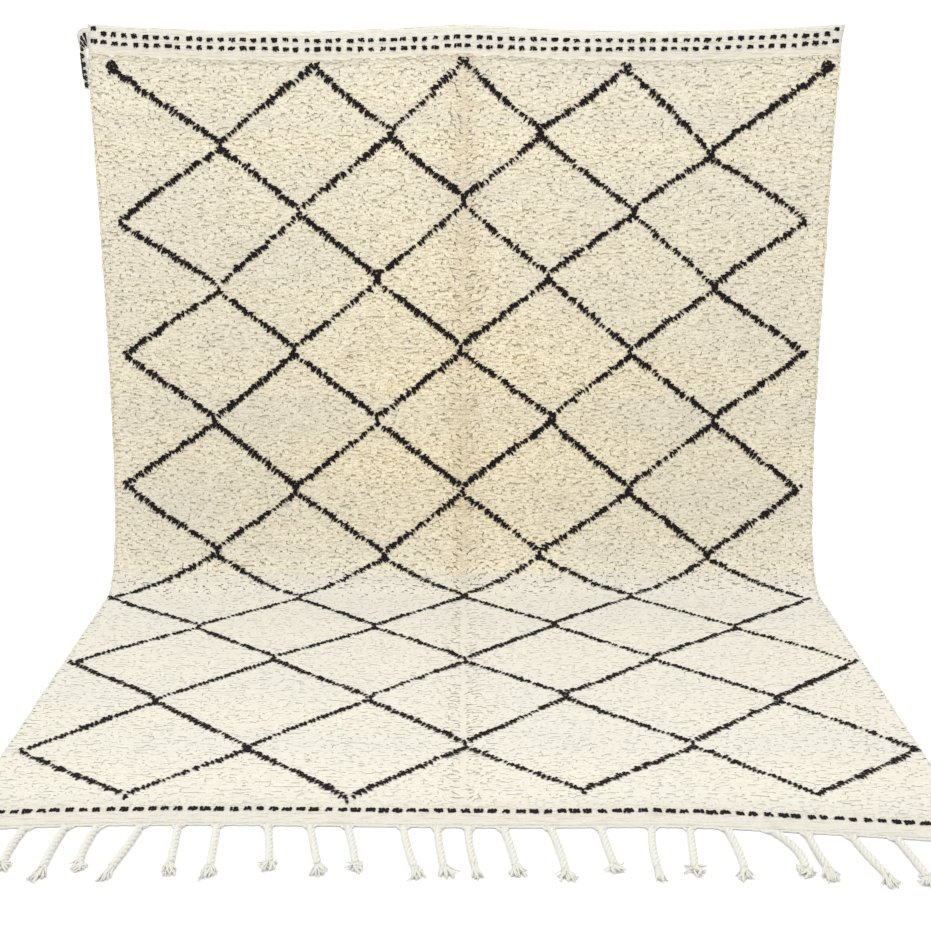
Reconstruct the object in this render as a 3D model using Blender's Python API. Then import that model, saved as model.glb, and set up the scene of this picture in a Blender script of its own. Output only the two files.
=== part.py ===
"""A hand-knotted wool rug held up by its far end: it hangs in a catenary and then lies on the floor.

Run with: blender --background --python part.py

Frame: +X runs across the rug, +Z up, the floor at z = 0. The hanging part is at the back (+Y), the part on
the floor comes forward (-Y), and the origin is under the middle of the part on the floor. The pile faces
forward and up. A place on the rug is (across, along): metres from its centre line, and the fraction of the
way from its top edge to its near edge.
"""

import math

import bmesh
import bpy
import numpy as np

# The rug
WIDTH = 2.0
HANG_LENGTH = 1.609  # cloth between the top edge and the line where the rug meets the floor
FOOT_RADIUS = 0.082  # radius of the bend at the floor, the catenary's own constant
TOUCH_Y = 0.55  # the line where the rug meets the floor
CENTRE_LENGTH = 2.684
NEAR_EDGE_SKEW = 0.022  # how much longer the right side is, for each metre across
NEAR_EDGE_CORNERS = 0.034  # how much further the two near corners reach
NEAR_EDGE_HOLLOW = 0.011  # how much shorter the cloth is where the near edge bends in, right of the middle
HOLLOW_X = 0.43
HOLLOW_WIDTH = 0.24
TOP_SAG = 0.019  # the dip of the top edge between the places where it is held
HELD_EVERY = 1.0  # the top edge is held at its middle and its two corners
CORNER_STRETCH = 0.016  # the pull of the hold on the right top corner
CORNER_STRETCH_LENGTH = 0.08

# Thickness: a woven ground with a knotted pile on its front
GROUND_THICKNESS = 0.004
PILE_THICKNESS = 0.020  # ground and pile together
TOP_BAND = 0.072  # flat-woven end band, without pile
NEAR_BAND = 0.062
PILE_SHOULDER = 0.018  # run over which the pile rises from a band
SIDE_SHOULDER = 0.025
SIDE_THICKNESS = 0.6  # of the full thickness, at the two long sides
CREASE_DEPTH = 0.005  # the lengthwise crease down the middle, where the pile parts
CREASE_WIDTH = 0.035

# Folds of the hanging part, measured forward from the plain catenary
BILLOW = 0.012
BILLOW_LENGTH = 0.55
WAVE = 0.004
CORNER_CURL = 0.020
CORNER_CURL_WIDTH = 0.08
CORNER_CURL_LENGTH = 0.14

# The loose tail of the top end band, which droops behind the left top corner
TAIL_LENGTH = 0.185
TAIL_WIDTH = 0.052
TAIL_THICKNESS = 0.005
TAIL_START = (-0.985, -0.034)  # across, and up from the left end of the top edge
TAIL_STRAIGHT = 0.019  # run to the left before it turns down
TAIL_BEND = 0.040  # radius of its turn from running left to running down, on the cloth
TAIL_REACH = 0.018  # how far left and down the crumpled turn takes its middle
TAIL_DROP = 0.028
TAIL_TURN = math.radians(60)  # how far its face turns to the left on the way
TAIL_BACK = 0.012  # how far it goes back in the turn
TAIL_DRIFT = 0.05  # sideways and forward shift for each metre that it falls
TAIL_STEPS = 12

# The fringe: twisted tassels on a thin heading along the near edge
HEADING_WIDTH = 0.006
HEADING_THICKNESS = 0.004
ROPE_THICKNESS = 0.012
ROPE_HALF_WIDTH = 0.0062
ROOT_FLARE = 0.013  # extra half width where a tassel leaves the heading
ROOT_FLARE_LENGTH = 0.009
TUFT_LENGTH = 0.036
FRINGE_GAP = 0.0003

# One row for each tassel, left to right: where it leaves the edge, how far its tip lies to the right of
# that, how far its middle bows to the right, its length, and half the width of its frayed tip
TASSEL_COLUMNS = ("root_x", "lean", "bow", "length", "tuft")
TASSELS = (
    (-0.940, -0.008, 0.004, 0.148, 0.011),
    (-0.858, -0.002, -0.006, 0.146, 0.014),
    (-0.779, -0.002, -0.005, 0.164, 0.013),
    (-0.716, 0.001, -0.008, 0.148, 0.013),
    (-0.633, -0.031, 0.004, 0.162, 0.009),
    (-0.561, 0.014, 0.001, 0.152, 0.017),
    (-0.484, 0.014, 0.000, 0.163, 0.014),
    (-0.386, 0.024, 0.004, 0.149, 0.011),
    (-0.302, 0.036, 0.001, 0.156, 0.014),
    (-0.228, 0.031, 0.003, 0.152, 0.010),
    (-0.117, 0.037, -0.005, 0.160, 0.013),
    (-0.050, 0.020, -0.003, 0.156, 0.013),
    (0.011, 0.017, -0.005, 0.147, 0.012),
    (0.078, 0.024, 0.003, 0.152, 0.014),
    (0.170, 0.023, 0.004, 0.162, 0.013),
    (0.270, 0.019, -0.002, 0.152, 0.013),
    (0.372, -0.006, -0.006, 0.158, 0.010),
    (0.446, -0.016, 0.000, 0.158, 0.014),
    (0.516, 0.008, 0.005, 0.156, 0.013),
    (0.600, 0.030, 0.024, 0.150, 0.018),
    (0.671, 0.016, -0.004, 0.146, 0.014),
    (0.754, 0.042, -0.005, 0.156, 0.015),
    (0.838, 0.022, 0.002, 0.152, 0.012),
    (0.925, 0.026, -0.006, 0.148, 0.013),
)
TASSEL_STATIONS = (0.0, 0.05, 0.12, 0.24, 0.40, 0.56, 0.70, 0.80, 0.90, 0.97)


def smooth(x):
    """0 below 0, 1 above 1, and an S-curve between."""
    x = np.clip(x, 0.0, 1.0)
    return x * x * (3.0 - 2.0 * x)


def top_edge(x):
    """Cloth between the level of the held points and the top edge: a parabola between each two of them."""
    part = np.abs(x) % HELD_EVERY / HELD_EVERY
    return 4.0 * TOP_SAG * part * (1.0 - part)


def near_edge(x):
    """Cloth from the level of the held points to the near edge: a slant, longer at its ends, with a hollow."""
    hollow = NEAR_EDGE_HOLLOW * np.exp(-(((x - HOLLOW_X) / HOLLOW_WIDTH) ** 2))
    return CENTRE_LENGTH + NEAR_EDGE_SKEW * x + NEAR_EDGE_CORNERS * x**4 - hollow


def catenary(down, forward):
    """Points `down` metres of cloth below the held points, moved `forward` along the cloth's own normal.

    Off the floor the cloth follows the catenary z = a cosh(y / a) - a, written in terms of its length.
    """
    off_floor = np.maximum(HANG_LENGTH - down, 0.0)
    on_floor = np.maximum(down - HANG_LENGTH, 0.0)
    slant = np.hypot(FOOT_RADIUS, off_floor)
    y = TOUCH_Y + FOOT_RADIUS * np.arcsinh(off_floor / FOOT_RADIUS) - on_floor
    z = slant - FOOT_RADIUS
    return y - forward * off_floor / slant, z + forward * FOOT_RADIUS / slant


def fold_depth(x, down):
    """How far the hanging cloth stands forward of the catenary: billows, slow waves and curled corners."""
    hanging = smooth((HANG_LENGTH - 0.12 - down) / 0.5)
    billow = BILLOW * np.sin(math.pi * x) ** 2 * np.exp(-down / BILLOW_LENGTH)
    wave = WAVE * np.sin(4.6 * x + 1.9 * down + 0.7) * np.sin(3.1 * down + 0.4)
    at_side = smooth((np.abs(x) - WIDTH / 2 + CORNER_CURL_WIDTH) / CORNER_CURL_WIDTH)
    curl = CORNER_CURL * at_side * smooth(1.0 - down / CORNER_CURL_LENGTH)
    return hanging * (billow + wave) - curl


def thickness(x, from_top, from_near):
    """The ground alone in the two end bands, and between them the pile too, thinner at sides and crease."""
    pile = smooth((from_top - TOP_BAND) / PILE_SHOULDER) * smooth((from_near - NEAR_BAND) / PILE_SHOULDER)
    side = smooth((WIDTH / 2 - np.abs(x)) / SIDE_SHOULDER)
    full = PILE_THICKNESS * (SIDE_THICKNESS + (1.0 - SIDE_THICKNESS) * side)
    full = full - CREASE_DEPTH * np.exp(-((x / CREASE_WIDTH) ** 2))
    return GROUND_THICKNESS + (full - GROUND_THICKNESS) * pile


def on_rug(x, along, share):
    """Points at `share` of the rug's thickness, 0 at its back and 1 at its front."""
    start, end = top_edge(x), near_edge(x)
    down = start + along * (end - start)
    depth = share * thickness(x, down - start, end - down)
    y, z = catenary(down, fold_depth(x, down) + depth)
    stretch = CORNER_STRETCH * np.exp(-down / CORNER_STRETCH_LENGTH) * smooth(x / (WIDTH / 2))
    return np.stack([x + stretch, y, z], axis=-1)


def closed_sheet(name, front, back):
    """An object from two grids of points of one size, (rows, columns, 3), closed round their rim."""
    rows, columns = front.shape[:2]
    index = np.arange(rows * columns).reshape(rows, columns)
    corners = [index[:-1, :-1], index[1:, :-1], index[1:, 1:], index[:-1, 1:]]
    face = np.stack(corners, axis=-1).reshape(-1, 4)
    rim = np.concatenate([index[:-1, 0], index[-1, :-1], index[:0:-1, -1], index[0, :0:-1]])
    after = np.roll(rim, -1)
    behind = rows * columns
    wall = np.stack([rim, rim + behind, after + behind, after], axis=-1)
    faces = np.concatenate([face, face[:, ::-1] + behind, wall])
    points = np.concatenate([front.reshape(-1, 3), back.reshape(-1, 3)])
    mesh = bpy.data.meshes.new(name)
    mesh.from_pydata(points.tolist(), [], faces.tolist())
    return finished(name, mesh)


def finished(name, mesh):
    """The object of a mesh, with its faces turned outwards."""
    shape = bmesh.new()
    shape.from_mesh(mesh)
    bmesh.ops.recalc_face_normals(shape, faces=shape.faces)
    shape.to_mesh(mesh)
    shape.free()
    thing = bpy.data.objects.new(name, mesh)
    bpy.context.scene.collection.objects.link(thing)
    return thing


def material(name, colour, roughness):
    """A plain Principled material."""
    result = bpy.data.materials.new(name)
    result.use_nodes = True
    shader = result.node_tree.nodes["Principled BSDF"]
    shader.inputs["Base Color"].default_value = (*colour, 1.0)
    shader.inputs["Roughness"].default_value = roughness
    shader.inputs["Metallic"].default_value = 0.0
    return result


def across_stations():
    """Places across the rug: close together at the crease and the sides, even between."""
    half = np.concatenate([[0.02], np.linspace(0.05, 0.95, 13), [WIDTH / 2 - SIDE_SHOULDER / 2, WIDTH / 2]])
    return np.concatenate([-half[::-1], [0.0], half])


def along_stations():
    """Places along the rug, as fractions of its length: close together at the bands and round the foot."""
    top = [0.0, TOP_BAND / 2, TOP_BAND, TOP_BAND + PILE_SHOULDER / 2, TOP_BAND + PILE_SHOULDER]
    hang = np.linspace(0.16, 1.30, 14)
    foot = np.linspace(1.34, 1.66, 15)
    floor = np.linspace(1.74, CENTRE_LENGTH - 0.14, 10)
    shoulder = [NEAR_BAND + PILE_SHOULDER, NEAR_BAND + PILE_SHOULDER / 2, NEAR_BAND]
    near = CENTRE_LENGTH - np.array([*shoulder, NEAR_BAND / 2, 0.0])
    return np.concatenate([top, hang, foot, floor, near]) / CENTRE_LENGTH


def rug_body():
    """The rug itself: one sheet from its top edge to its near edge."""
    x, along = np.meshgrid(across_stations(), along_stations())
    return closed_sheet("rug", on_rug(x, along, 1.0), on_rug(x, along, 0.0))


def band_tail():
    """The tail of the end band: a ribbon that runs left, turns down and turns its face to the left."""
    length = np.linspace(0.0, TAIL_LENGTH, TAIL_STEPS + 1)
    arc = TAIL_BEND * math.pi / 2
    turn = np.clip((length - TAIL_STRAIGHT) / arc, 0.0, 1.0) * math.pi / 2
    fall = np.maximum(length - TAIL_STRAIGHT - arc, 0.0)
    x = TAIL_START[0] - np.minimum(length, TAIL_STRAIGHT) - TAIL_REACH * np.sin(turn) + TAIL_DRIFT * fall
    top_y, top_z = catenary(0.0, fold_depth(TAIL_START[0], 0.0) + GROUND_THICKNESS / 2)
    y = top_y + TAIL_BACK * (1.0 - np.cos(turn)) - TAIL_DRIFT * fall
    z = top_z + TAIL_START[1] - TAIL_DROP * (1.0 - np.cos(turn)) - fall
    centre = np.stack([x, y, z], axis=-1)
    twist = TAIL_TURN * smooth(turn / (math.pi / 2))
    outward = np.stack([-np.sin(turn) * np.cos(twist), np.sin(turn) * np.sin(twist), np.cos(turn)], axis=-1)
    facing = np.cross(outward, np.gradient(centre, axis=0))
    facing = facing / np.linalg.norm(facing, axis=1, keepdims=True)
    across = np.array([-0.5, 0.0, 0.5]) * TAIL_WIDTH
    middle = centre[:, None, :] + across[None, :, None] * outward[:, None, :]
    half = 0.5 * TAIL_THICKNESS * facing[:, None, :]
    return closed_sheet("band_tail", middle + half, middle - half)


def join(body, extra):
    """One solid from two that overlap; the second is then removed."""
    union = body.modifiers.new("union", "BOOLEAN")
    union.operation = "UNION"
    union.solver = "EXACT"
    union.object = extra
    graph = bpy.context.evaluated_depsgraph_get()
    joined = bpy.data.meshes.new_from_object(body.evaluated_get(graph))
    body.modifiers.clear()
    body.data = joined
    bpy.data.objects.remove(extra, do_unlink=True)
    return body


def edge_y(x):
    """Where the near edge lies on the floor."""
    return TOUCH_Y - (near_edge(x) - HANG_LENGTH)


def tassel_sides(tassel):
    """The left side of a tassel from root to tip, and its right side from tip to root, in plan."""
    q = np.array(TASSEL_STATIONS)
    run = q * tassel["length"]
    centre_x = tassel["root_x"] + tassel["lean"] * q + 4.0 * tassel["bow"] * q * (1.0 - q)
    centre_y = edge_y(tassel["root_x"]) - FRINGE_GAP - HEADING_WIDTH - run
    flare = ROOT_FLARE * np.exp(-run / ROOT_FLARE_LENGTH)
    to_tip = (run - (tassel["length"] - TUFT_LENGTH)) / TUFT_LENGTH
    fray = (tassel["tuft"] - ROPE_HALF_WIDTH) * smooth(to_tip * 1.25)
    round_off = 1.0 - 0.45 * smooth((to_tip - 0.7) / 0.3)
    half = (ROPE_HALF_WIDTH + flare + fray) * round_off
    left = np.stack([centre_x - half, centre_y], axis=-1)
    right = np.stack([centre_x + half, centre_y], axis=-1)
    tip_x = tassel["root_x"] + tassel["lean"]
    tip = np.array([[tip_x, centre_y[0] - tassel["length"]]])
    return np.concatenate([left, tip, right[::-1]])


def fringe_outline():
    """The comb in plan: the heading's back edge from right to left, then every tassel from left to right."""
    back_x = np.linspace(WIDTH / 2, -WIDTH / 2, 41)
    back = np.stack([back_x, edge_y(back_x) - FRINGE_GAP], axis=-1)
    ends = np.array([-WIDTH / 2, WIDTH / 2])
    front = np.stack([ends, edge_y(ends) - FRINGE_GAP - HEADING_WIDTH], axis=-1)
    tassels = [tassel_sides(dict(zip(TASSEL_COLUMNS, row))) for row in TASSELS]
    return np.concatenate([back, front[:1], *tassels, front[1:]])


def fringe():
    """The fringe: one comb, thin at its heading and as thick as its ropes beyond it, flat on the floor."""
    outline = fringe_outline()
    count = len(outline)
    beyond = edge_y(outline[:, 0]) - FRINGE_GAP - HEADING_WIDTH - outline[:, 1]
    top = HEADING_THICKNESS + (ROPE_THICKNESS - HEADING_THICKNESS) * smooth(beyond / 0.018)
    low = np.column_stack([outline, np.zeros(count)])
    high = np.column_stack([outline, top])
    ring = np.arange(count)
    after = np.roll(ring, -1)
    wall = np.stack([ring, after, after + count, ring + count], axis=-1)
    faces = [ring[::-1].tolist(), (ring + count).tolist(), *wall.tolist()]
    mesh = bpy.data.meshes.new("fringe")
    mesh.from_pydata(np.concatenate([low, high]).tolist(), [], faces)
    return finished("fringe", mesh)


def main():
    for thing in list(bpy.data.objects):
        bpy.data.objects.remove(thing, do_unlink=True)
    rug = join(rug_body(), band_tail())
    rug.data.materials.clear()
    rug.data.materials.append(material("knotted_wool", (0.78, 0.72, 0.58), 0.95))
    comb = fringe()
    comb.data.materials.append(material("twisted_warp", (0.85, 0.83, 0.76), 0.9))


main()
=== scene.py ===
"""A beni ourain rug: knotted wool pile on a woven ground, dots in its bands and a fringe of tassels.

Frame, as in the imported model: +X across the rug, +Z up, the floor at z = 0. The hanging part is at the back
(+Y) and the part on the floor comes forward (-Y). A place on the cloth is (across, down, height): metres from
its centre line, metres of cloth below the level at which it is held, and metres in front of its back.
"""

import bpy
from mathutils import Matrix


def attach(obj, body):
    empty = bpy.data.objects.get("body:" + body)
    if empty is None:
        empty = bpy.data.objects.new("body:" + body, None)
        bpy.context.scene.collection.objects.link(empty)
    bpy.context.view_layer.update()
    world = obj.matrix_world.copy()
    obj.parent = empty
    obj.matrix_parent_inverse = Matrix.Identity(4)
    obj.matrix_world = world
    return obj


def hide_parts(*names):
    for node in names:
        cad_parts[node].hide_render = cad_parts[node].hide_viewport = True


bl_info = {
    "name": "Beni Ourain Rug",
    "version": (1, 0, 0),
    "blender": (4, 5, 0),
    "location": "3D View > Sidebar > Rug",
    "description": "Weaves the ground, knots the pile and twists the fringe of a shaggy wool rug",
    "category": "Add Mesh",
}

import math

import bpy
import numpy as np
from bpy.props import FloatProperty, FloatVectorProperty, IntProperty, PointerProperty

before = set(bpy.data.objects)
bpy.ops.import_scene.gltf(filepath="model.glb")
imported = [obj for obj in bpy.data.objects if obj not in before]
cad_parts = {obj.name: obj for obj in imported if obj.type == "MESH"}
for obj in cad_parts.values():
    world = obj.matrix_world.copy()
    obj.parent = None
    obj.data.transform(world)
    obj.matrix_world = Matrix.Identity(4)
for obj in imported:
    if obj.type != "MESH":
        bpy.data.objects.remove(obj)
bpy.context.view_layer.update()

# The cloth and the way it hangs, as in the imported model
WIDTH = 2.0
HANG_LENGTH = 1.609
FOOT_RADIUS = 0.082
TOUCH_Y = 0.55
CENTRE_LENGTH = 2.684
NEAR_EDGE_SKEW = 0.022
NEAR_EDGE_CORNERS = 0.034
NEAR_EDGE_HOLLOW = 0.011
HOLLOW_X = 0.43
HOLLOW_WIDTH = 0.24
TOP_SAG = 0.019
HELD_EVERY = 1.0
CORNER_STRETCH = 0.016
CORNER_STRETCH_LENGTH = 0.08
GROUND_THICKNESS = 0.004
TOP_BAND = 0.072
NEAR_BAND = 0.062
BED_HEIGHT = 0.0145  # dense lower part of the pile, from the back of the cloth
BED_SHOULDER = 0.012
BED_COVER = 0.0006  # least height of the tufts above the bed
TUFT_SINK = 0.0022  # depth of their roots in it
BILLOW = 0.012
BILLOW_LENGTH = 0.55
WAVE = 0.004
CORNER_CURL = 0.020
CORNER_CURL_WIDTH = 0.08
CORNER_CURL_LENGTH = 0.14

# The loose tail of the top band
TAIL_LENGTH = 0.185
TAIL_WIDTH = 0.052
TAIL_THICKNESS = 0.005
TAIL_START = (-0.985, -0.034)
TAIL_STRAIGHT = 0.019
TAIL_BEND = 0.040
TAIL_REACH = 0.018
TAIL_DROP = 0.028
TAIL_TURN = math.radians(60)
TAIL_BACK = 0.012
TAIL_DRIFT = 0.05

# The knots of the diamond lattice, row by row from the top: (across, down) of each
LATTICE_KNOTS = (
    ((-0.935, 0.110), (-0.395, 0.105), (0.000, 0.090), (0.425, 0.110), (0.965, 0.110)),
    ((-0.655, 0.310), (-0.195, 0.275), (0.205, 0.275), (0.665, 0.335)),
    ((-0.940, 0.515), (-0.450, 0.485), (0.000, 0.450), (0.465, 0.485), (0.930, 0.510)),
    ((-0.680, 0.695), (-0.240, 0.665), (0.235, 0.660), (0.695, 0.690)),
    ((-0.945, 0.880), (-0.475, 0.865), (-0.005, 0.860), (0.470, 0.870), (0.950, 0.875)),
    ((-0.705, 1.065), (-0.245, 1.065), (0.250, 1.060), (0.710, 1.065)),
    ((-0.965, 1.250), (-0.480, 1.265), (-0.005, 1.270), (0.470, 1.265), (0.950, 1.265)),
    ((-0.705, 1.445), (-0.225, 1.460), (0.215, 1.455), (0.695, 1.460)),
    ((-0.980, 1.630), (-0.460, 1.625), (0.000, 1.610), (0.465, 1.615), (0.955, 1.635)),
    ((-0.700, 1.810), (-0.235, 1.810), (0.240, 1.795), (0.715, 1.815)),
    ((-0.970, 2.020), (-0.475, 1.990), (0.005, 2.000), (0.475, 1.990), (0.970, 2.015)),
    ((-0.720, 2.205), (-0.220, 2.195), (0.240, 2.180), (0.740, 2.200)),
    ((-0.955, 2.430), (-0.470, 2.415), (0.005, 2.400), (0.505, 2.400), (0.985, 2.420)),
    ((-0.690, 2.600), (-0.235, 2.610), (0.245, 2.585), (0.725, 2.600)),
)
KNOT_COLUMN = 0.238  # usual distance between columns of knots
LAST_COLUMN = 4.03  # the outermost knots, with half a line's width
KNOT_ROW = 0.19
LAST_ROW = len(LATTICE_KNOTS)

# One row for each tassel: where it leaves the edge, how far its tip lies to the right of that, how far its
# middle bows to the right, its length, and how it frays
TASSEL_COLUMNS = ("root_x", "lean", "bow", "length", "fray")
TASSELS = (
    (-0.940, -0.008, 0.004, 0.148, "ball"),
    (-0.858, -0.002, -0.006, 0.146, "ball"),
    (-0.779, -0.002, -0.005, 0.164, "fork"),
    (-0.716, 0.001, -0.008, 0.148, "ball"),
    (-0.633, -0.031, 0.004, 0.162, "tail"),
    (-0.561, 0.014, 0.001, 0.152, "fan"),
    (-0.484, 0.014, 0.000, 0.163, "fork"),
    (-0.386, 0.024, 0.004, 0.149, "ball"),
    (-0.302, 0.036, 0.001, 0.156, "fork"),
    (-0.228, 0.031, 0.003, 0.152, "ball"),
    (-0.117, 0.037, -0.005, 0.160, "fork"),
    (-0.050, 0.020, -0.003, 0.156, "fan"),
    (0.011, 0.017, -0.005, 0.147, "tail"),
    (0.078, 0.024, 0.003, 0.152, "fan"),
    (0.170, 0.023, 0.004, 0.162, "fan"),
    (0.270, 0.019, -0.002, 0.152, "ball"),
    (0.372, -0.006, -0.006, 0.158, "tail"),
    (0.446, -0.016, 0.000, 0.158, "ball"),
    (0.516, 0.008, 0.005, 0.156, "fork"),
    (0.600, 0.030, 0.024, 0.150, "ball"),
    (0.671, 0.016, -0.004, 0.146, "fork"),
    (0.754, 0.042, -0.005, 0.156, "fork"),
    (0.838, 0.022, 0.002, 0.152, "ball"),
    (0.925, 0.026, -0.006, 0.148, "ball"),
)
FRINGE_START = 0.0063  # where the tassels leave the heading, from the near edge
# How each kind of fray spreads: the angle between its two halves, the spread in each, and the curl
FRAYS = {
    "ball": (0.0, 1.25, 2.6),
    "fan": (0.0, 0.65, 0.9),
    "fork": (0.75, 0.28, 0.5),
    "tail": (0.0, 0.16, 0.5),
}

NOISE_TILES = 211

# The pile: its pieces, margins and crease, and its slow unevenness as (size across, size down, seed)
PILE_PIECES = 5
SIDE_MARGIN = 0.003  # from the long sides to the cells of the outermost knots
PILE_START = TOP_BAND - 0.003
PILE_END = NEAR_BAND + 0.001
CREASE_TILT = 75.0  # how much the ridges turn down towards the crease, in ridges for each metre across
CREASE_WIDTH = 0.040
CREASE_WANDER = 0.010
BEND_SHARE = 0.45  # share of a tuft's length at which it bends over
SHADE_LIFTS_FROM = 0.62  # share of a ridge at which the painted shade under the ridge above starts to lift
SHADE_LIFTS_OVER = 0.7  # share of a ridge over which that painted shade lifts fully
RIDGE_SWAY = (0.035, 0.022, 31)
RIDGE_BREAKS = (0.011, 0.016, 36)
TUFT_DRIFT = (0.06, 0.04, 33)
LOFT_PATCHES = (0.03, 0.03, 34)
LINE_PATCHES = (0.03, 0.03, 35)

# The dots: how far their rows reach, the levels of the two top rows, and (width, length) of each kind
TOP_DOT_SPAN = (-0.985, 0.992)
NEAR_DOT_SPAN = (-0.985, 0.985)
TOP_DOT_LEVELS = (0.021, 0.043)
TOP_DOT = (0.0124, 0.0100)
NEAR_DOT = (0.0145, 0.0125)
SELVEDGE_DOT = (0.0028, 0.0062)
TAIL_BAR = (0.0100, 0.0330)
TAIL_DOT = (0.0060, 0.0060)
# Where the seven tufts of a dot stand, in shares of its width and length
DOT_SPOTS = (
    (-0.40, -0.45), (0.0, -0.5), (0.40, -0.45), (-0.42, 0.0), (0.0, 0.05), (0.42, 0.0), (0.05, -0.2),
)

# Threads of the weave, in radians for each metre
WEFTS = 2100.0
WARPS = 1900.0
PICKS = 700.0
KNOT_BACKS = 790.0

FRAY_LENGTH = 0.026  # from the end of a tassel's rope to its tip
HEADING_RADIUS = 0.0020

# ---------------------------------------------------------------- sizes and colours a user may change


class RugPileSettings(bpy.types.PropertyGroup):
    rows: IntProperty(name="Rows", description="Rows of knots along the rug", default=352, min=50)
    columns: IntProperty(name="Columns", description="Knots in each row", default=224, min=50)
    overlap: FloatProperty(
        name="Tuft overlap", description="How far a tuft reaches past its ridge",
        default=0.0055, unit="LENGTH"
    )
    tuft_width: FloatProperty(
        name="Tuft width", description="Width of a tuft", default=0.0130, unit="LENGTH"
    )
    dark_length: FloatProperty(
        name="Dark length", description="How far a dark tuft reaches along the cloth",
        default=0.0135, unit="LENGTH"
    )
    dark_width: FloatProperty(
        name="Dark width", description="Width of a dark tuft", default=0.0067, unit="LENGTH"
    )
    wavelet: FloatProperty(
        name="Wavelet", description="Distance between the wavy ridges of the pile",
        default=0.0102, unit="LENGTH"
    )
    loft: FloatProperty(
        name="Loft", description="How far the tufts stand off the dense bed of the pile",
        default=0.0060, unit="LENGTH"
    )
    tangle: FloatProperty(
        name="Tangle", description="How far tufts stray sideways", default=0.006, unit="LENGTH"
    )
    line_width: FloatProperty(
        name="Line width", description="Width of the lattice's lines, across the rug",
        default=0.0162, unit="LENGTH"
    )
    bar: FloatProperty(
        name="Bar", description="Height of the upright bar where two lines cross",
        default=0.017, unit="LENGTH"
    )
    seed: IntProperty(name="Seed", description="Picks one of many tangles", default=11, min=0)


class RugBandSettings(bpy.types.PropertyGroup):
    top_spacing: FloatProperty(
        name="Top spacing", description="Distance between dots in the top band",
        default=0.0285, unit="LENGTH"
    )
    near_spacing: FloatProperty(
        name="Near spacing", description="Distance between dots in the near band",
        default=0.0275, unit="LENGTH"
    )
    near_row: FloatProperty(
        name="Near row", description="Distance of the near dots from the near edge",
        default=0.050, unit="LENGTH"
    )
    seed: IntProperty(name="Seed", description="Picks one of many sets of uneven dots", default=5, min=0)


class RugFringeSettings(bpy.types.PropertyGroup):
    plies: IntProperty(name="Plies", description="Yarns twisted into a tassel", default=3, min=2)
    ply_radius: FloatProperty(
        name="Ply radius", description="Radius of one yarn", default=0.0043, unit="LENGTH"
    )
    pitch: FloatProperty(
        name="Pitch", description="Length of one whole twist", default=0.040, unit="LENGTH"
    )
    strands: IntProperty(name="Strands", description="Loose strands at a tassel's end", default=24, min=4)
    strand_radius: FloatProperty(
        name="Strand radius", description="Radius of a loose strand", default=0.0027, unit="LENGTH"
    )
    seed: IntProperty(name="Seed", description="Picks one of many frays", default=3, min=0)


class RugColours(bpy.types.PropertyGroup):
    # White is the floor's pile and gold the hang's: the gold is painted shade, as the hang takes less light
    white_tip: FloatVectorProperty(
        name="White tip", description="Whiter pile, at its tips",
        subtype="COLOR", size=3, default=(0.612, 0.597, 0.538)
    )
    # The root colours are painted shade: wool near the bed and under the ridge above is drawn darker
    white_root_shade: FloatVectorProperty(
        name="White root", description="Whiter pile, near the ground",
        subtype="COLOR", size=3, default=(0.60, 0.565, 0.48)
    )
    gold_tip: FloatVectorProperty(
        name="Gold tip", description="Golden pile, at its tips",
        subtype="COLOR", size=3, default=(0.845, 0.77, 0.58)
    )
    gold_root_shade: FloatVectorProperty(
        name="Gold root", description="Golden pile, near the ground",
        subtype="COLOR", size=3, default=(0.43, 0.32, 0.15)
    )
    dark_wool: FloatVectorProperty(
        name="Dark wool", description="Lattice and dots",
        subtype="COLOR", size=3, default=(0.007, 0.005, 0.006)
    )
    band: FloatVectorProperty(
        name="Band", description="Flat-woven bands", subtype="COLOR", size=3, default=(0.76, 0.73, 0.65)
    )
    tassel: FloatVectorProperty(
        name="Tassel", description="Twisted warps", subtype="COLOR", size=3, default=(0.665, 0.66, 0.60)
    )
    floor: FloatVectorProperty(
        name="Floor", description="Studio floor", subtype="COLOR", size=3, default=(0.93, 0.93, 0.93)
    )


class RugStageSettings(bpy.types.PropertyGroup):
    sky: FloatProperty(name="Sky", description="Strength of the even white light", default=1.12, min=0.0)
    overhead: FloatProperty(
        name="Overhead", description="Power of the soft light above", default=60.0, subtype="POWER"
    )
    front: FloatProperty(
        name="Front", description="Power of the soft light in front", default=10.0, subtype="POWER"
    )
    lens: FloatProperty(
        name="Lens", description="Focal length for a 36 mm sensor", default=47.216, subtype="NONE"
    )
    pitch: FloatProperty(
        name="Pitch", description="How far the camera looks down",
        default=math.radians(18.29), subtype="ANGLE"
    )


# ---------------------------------------------------------------- the shape of the cloth


def smooth(x):
    """0 below 0, 1 above 1, and an S-curve between."""
    x = np.clip(x, 0.0, 1.0)
    return x * x * (3.0 - 2.0 * x)


def soft_noise(u, v, seed):
    """Values from -1 to 1: a random number at each whole (u, v), blended along S-curves between them."""
    table = np.random.default_rng(seed).uniform(-1.0, 1.0, (NOISE_TILES, NOISE_TILES))
    i, j = np.floor(u).astype(int), np.floor(v).astype(int)
    a, b = smooth(u - i), smooth(v - j)
    i, j, after_i, after_j = i % NOISE_TILES, j % NOISE_TILES, (i + 1) % NOISE_TILES, (j + 1) % NOISE_TILES
    near = table[i, j] * (1.0 - a) + table[after_i, j] * a
    far = table[i, after_j] * (1.0 - a) + table[after_i, after_j] * a
    return near * (1.0 - b) + far * b


def top_edge(x):
    """Cloth from the held level to the top edge: a parabola between each two places where it is held."""
    part = np.abs(x) % HELD_EVERY / HELD_EVERY
    return 4.0 * TOP_SAG * part * (1.0 - part)


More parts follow.
